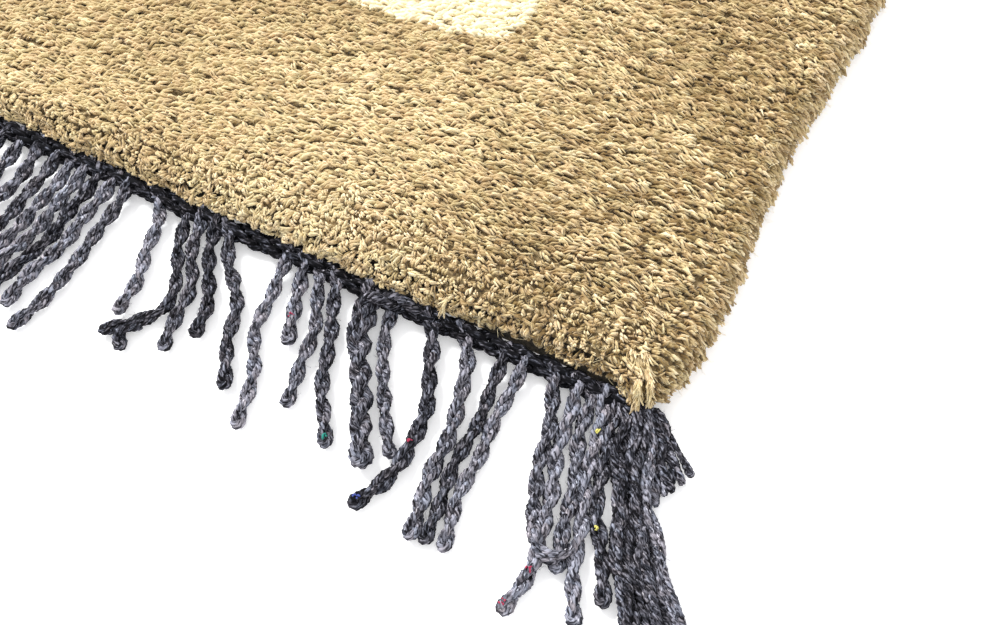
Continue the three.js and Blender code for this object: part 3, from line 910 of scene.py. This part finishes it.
near_places = knot_rows(1.0, np.random.default_rng(21))
near_places = near_places[close_to_camera(near_places[:, 0], near_places[:, 1])]
far_places = knot_rows(FAR_SCALE, np.random.default_rng(22))
far_places = far_places[~close_to_camera(far_places[:, 0], far_places[:, 1])]
pile_pieces = []
near_tips, near_lying = [], []
for reach, places, scale, most in (("near", near_places, 1.0, 4100), ("far", far_places, FAR_SCALE, 19000)):
    ivory = in_medallion(places[:, 0], places[:, 1])
    near_kinds = {"khaki": NEAR_LOCKS, "ivory": IVORY_LOCKS}
    for colour, chosen, material in (
        ("khaki", places[~ivory], khaki_wool), ("ivory", places[ivory], ivory_wool),
    ):
        kind = near_kinds[colour] if reach == "near" else FAR_LOCKS
        for band, band_places in enumerate(parts_of(chosen, most)):
            name = f"{colour}_pile_{reach}_{band + 1}"
            piece, (tips, lying) = pile(name, band_places, scale, kind, 31 + band, material)
            pile_pieces.append(piece)
            if reach == "near" and colour == "khaki":
                near_tips.append(tips)
                near_lying.append(lying)

# Loose fibres stand out of the cut ends and catch the light, most of them near the rim.
FIBRES = 1700
FIBRE_RADIUS = 0.07
fibre_random = np.random.default_rng(77)
near_tips, near_lying = np.vstack(near_tips), np.vstack(near_lying)
from_rim = np.minimum(RUG_HALF_LENGTH + near_tips[:, 1], RUG_HALF_WIDTH - near_tips[:, 0])
wanted = 0.12 + np.exp(-((from_rim / 24) ** 2))
chosen = fibre_random.choice(len(near_tips), FIBRES, replace=False, p=wanted / wanted.sum())
fibre_start = near_tips[chosen] - np.array([0, 0, 0.4])
stray = fibre_random.normal(0, 1.3, (FIBRES, 3)) * np.array([1.0, 1.0, 0.3])
fibre_way = near_lying[chosen] * 0.3 + stray + np.array([0, 0, 0.3])
fibre_curl = fibre_random.normal(0, 0.8, (FIBRES, 3)) * np.array([1, 1, 0.4])
fibre_middle = fibre_start + 0.5 * fibre_way + fibre_curl
fibre_paths = np.stack([fibre_start, fibre_middle, fibre_start + fibre_way], axis=1)
fibre_tints = fibre_random.uniform(0.6, 1.2, FIBRES)
fibre_yarns = Yarns()
fibre_yarns.add(fibre_paths, FIBRE_RADIUS * np.array([1.0, 0.9, 0.5]), 3, tint=fibre_tints)
loose_fibres = fibre_yarns.piece("loose_fibres", khaki_wool)

# Long locks of pale wool, loosely spun, hang over the front right corner, and one over the cord.
# Each row: distance of the root inwards from the corner and in from the end, then how far the
# lock runs to the right and to the front, how far down it hangs, and how thick it is
CORNER_LOCKS = [
    {"root": 17.0, "inset": 33.0, "right": 9.0, "front": -1.0, "drop": 0.4, "thick": 1.1},
    {"root": 24.0, "inset": 20.0, "right": 4.0, "front": 3.0, "drop": 0.3, "thick": 1.0},
    {"root": 15.0, "inset": 24.0, "right": 5.0, "front": 2.0, "drop": 0.2, "thick": 1.5},
    {"root": 13.5, "inset": 21.0, "right": 5.0, "front": 3.5, "drop": 0.4, "thick": 1.5},
    {"root": 12.0, "inset": 7.5, "right": 5.5, "front": 6.5, "drop": 1.6, "thick": 1.5},
    {"root": 8.5, "inset": 8.0, "right": 6.0, "front": 7.5, "drop": 1.8, "thick": 1.5},
    {"root": 6.0, "inset": -0.5, "right": 2.6, "front": 6.5, "drop": 8.0, "thick": 0.9},
    {"root": 3.0, "inset": 1.0, "right": 2.8, "front": 5.5, "drop": 8.0, "thick": 0.9},
    {"root": 69.5, "inset": 0.0, "right": -1.2, "front": 5.4, "drop": 4.5, "thick": 0.5},
]
SLIVERS_IN_STEP = 9
corner_random = np.random.default_rng(91)
corner_yarns = Yarns()
for lock in CORNER_LOCKS:
    start = np.array([RUG_HALF_WIDTH - lock["root"], -RUG_HALF_LENGTH + lock["inset"], PILE_TOP - 0.6])
    middle = start + np.array([lock["right"] * 0.45, -lock["front"] * 0.5, 1.5 - 0.15 * lock["drop"]])
    end = start + np.array([lock["right"], -lock["front"], 0.6 - lock["drop"]])
    path = smooth_path([start, middle, end], 1.2)
    for k in range(len(path) - 2):
        around = corner_random.normal(0, 0.42 * lock["thick"], (SLIVERS_IN_STEP, 3))
        ahead = path[min(k + 2, len(path) - 1)] - path[k]
        splay = around * 0.4 + corner_random.normal(0, 0.55, (SLIVERS_IN_STEP, 3))
        begin = path[k] + around
        halfway = begin + 0.5 * ahead + 0.3 * splay + [0, 0, 0.15]
        paths = np.stack([begin, halfway, begin + ahead + splay], axis=1)
        thickness = corner_random.uniform(0.22, 0.4, (SLIVERS_IN_STEP, 1)) * np.array((0.8, 1.0, 0.6))
        shade = corner_random.uniform(0.5, 0.9, SLIVERS_IN_STEP)
        # Each sliver is darker towards its root: painted shade
        corner_yarns.add(paths, thickness, 4, tint=shade, root_shade=-0.3)
corner_locks = corner_yarns.piece("corner_locks", khaki_wool)

for piece in pile_pieces + [loose_fibres, corner_locks]:
    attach(piece, "root")

# The body of the rug: undyed cotton warps and wefts with the backs of the knots on the
# underside, and above them the closed depth of the pile that the locks stand in, painted darker
# as painted shade, and near-black at its end walls: dark warp ends and painted shadow.
RIM_INSETS = (0.0, 0.5, 1.4, 2.8, 4.8, 7.5, 14.0)
CELLS_ACROSS, CELLS_ALONG = 44, 66
# Near the ends and low down, the body's walls take a near-black finish: dark warp ends and painted shadow
# under the overhanging pile
END_WARPS_AND_PAINTED_SHADOW = {"within": 3.5, "below": 10.0}


def body_lines(half, cells):
    """Grid lines across the body: close together at the rim, wide apart in the middle."""
    inner = half - RIM_INSETS[-1]
    low = [-half + inset for inset in RIM_INSETS]
    middle = list(np.linspace(-inner, inner, cells + 1)[1:-1])
    return np.array(low + middle + [-line for line in reversed(low)])


def body_places(lines_x, lines_y):
    """The grid over the plan, its edge following the pile's, and how far in each place lies."""
    x, y = [grid.ravel() for grid in np.meshgrid(lines_x, lines_y)]
    half_x, half_y = lines_x[-1], lines_y[-1]
    inset = np.minimum(half_x - np.abs(x), half_y - np.abs(y))
    past_x = np.maximum(np.abs(x) - (half_x - CORNER_RADIUS), 0) / CORNER_RADIUS
    past_y = np.maximum(np.abs(y) - (half_y - CORNER_RADIUS), 0) / CORNER_RADIUS
    x = x - np.sign(x) * CORNER_RADIUS * past_x * (1 - np.sqrt(1 - past_y**2 / 2))
    y = y - np.sign(y) * CORNER_RADIUS * past_y * (1 - np.sqrt(1 - past_x**2 / 2))
    y = y - corner_stands_out(x, y)
    return x + side_wander(x, y), y, inset


def knotted_back(name):
    """Wool knot backs in rows on the underside, dark in the gaps."""
    material, nodes, links, shader = new_material(name, 0.9)
    place = nodes.new("ShaderNodeTexCoord")
    knots = nodes.new("ShaderNodeTexBrick")
    knots.inputs["Scale"].default_value = 1.0
    knots.inputs["Brick Width"].default_value = 2 * LOCK_PITCH * MM
    knots.inputs["Row Height"].default_value = ROW_PITCH * MM
    knots.inputs["Mortar Size"].default_value = 0.45 * MM
    knots.inputs["Mortar Smooth"].default_value = 1.0
    knots.inputs["Color1"].default_value = (0.34, 0.25, 0.12, 1)
    knots.inputs["Color2"].default_value = (0.27, 0.19, 0.09, 1)
    knots.inputs["Mortar"].default_value = (0.10, 0.07, 0.035, 1)
    links.new(place.outputs["Object"], knots.inputs["Vector"])
    links.new(knots.outputs["Color"], shader.inputs["Base Color"])
    raised(nodes, links, shader, knots.outputs["Fac"], 0.0006, 1.0).invert = True
    return material


def shaded_wool(name, dark, light):
    """The depth of the pile, where the locks shade each other: noise between two given colours, which are
    painted shade where they are darker than the wool.
    """
    material, nodes, links, shader = new_material(name, 0.95)
    place = nodes.new("ShaderNodeTexCoord")
    clumps = noise(nodes, links, place.outputs["Object"], 620.0, 3.0)
    shades = colour_ramp(nodes, links, clumps, [(0.35, dark), (0.7, light)])
    links.new(shades, shader.inputs["Base Color"])
    raised(nodes, links, shader, clumps, 0.0008, 1.0)
    return material


lines_x = body_lines(RUG_HALF_WIDTH - BODY_DEPTH, CELLS_ACROSS)
lines_y = body_lines(RUG_HALF_LENGTH - BODY_DEPTH, CELLS_ALONG)
place_x, place_y, inset = body_places(lines_x, lines_y)
count, line = len(place_x), len(lines_x)
rise = np.sqrt(1 - (1 - np.clip(inset / (RIM["across"] - 1), 0, 1)) ** 2)
top = PILE_TOP - BODY_DEPTH - RIM["end_down"] * (1 - rise)
under = np.column_stack([place_x, place_y, np.zeros(count)])
over = np.column_stack([place_x, place_y, top])
faces = []
for j in range(len(lines_y) - 1):
    for i in range(line - 1):
        a = j * line + i
        faces.append((a, a + line, a + line + 1, a + 1))
        faces.append((count + a, count + a + 1, count + a + line + 1, count + a + line))
edge = list(range(line)) + [j * line + line - 1 for j in range(1, len(lines_y) - 1)]
edge += list(range(count - 1, count - line - 1, -1)) + [j * line for j in range(len(lines_y) - 2, 0, -1)]
for a, b in zip(edge, edge[1:] + edge[:1]):
    faces.append((a, b, count + b, count + a))
foundation_mesh = bpy.data.meshes.new("foundation")
foundation_mesh.from_pydata((np.vstack([under, over]) * MM).tolist(), [], faces)
for material in (
    knotted_back("knot_backs"),
    # painted shade: the khaki depth is darker than the khaki wool itself
    shaded_wool("khaki_depth_painted_shade", (0.17, 0.115, 0.05, 1), (0.45, 0.335, 0.175, 1)),
    shaded_wool("ivory_depth", (0.76, 0.65, 0.44, 1), (0.82, 0.73, 0.51, 1)),
    # near-black: dark warp ends and painted shadow under the overhanging pile
    shaded_wool("warp_ends_and_painted_shadow", (0.02, 0.017, 0.012, 1), (0.09, 0.07, 0.045, 1)),
):
    foundation_mesh.materials.append(material)
for face in foundation_mesh.polygons:
    lowest = min(foundation_mesh.vertices[corner].co.z for corner in face.vertices)
    x, y, z = face.center / MM
    at_end = RUG_HALF_LENGTH - abs(y) < END_WARPS_AND_PAINTED_SHADOW["within"] and z < END_WARPS_AND_PAINTED_SHADOW["below"]
    if face.normal.z < -0.5:
        face.material_index = 0
    # Near-black low on the end walls: dark warp ends and painted shadow
    elif at_end:
        face.material_index = 3
    else:
        face.material_index = 2 if in_medallion(x, y) else 1
    face.use_smooth = lowest > 0
foundation = bpy.data.objects.new("foundation", foundation_mesh)
bpy.context.scene.collection.objects.link(foundation)
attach(foundation, "root")
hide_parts("knotted_pile")
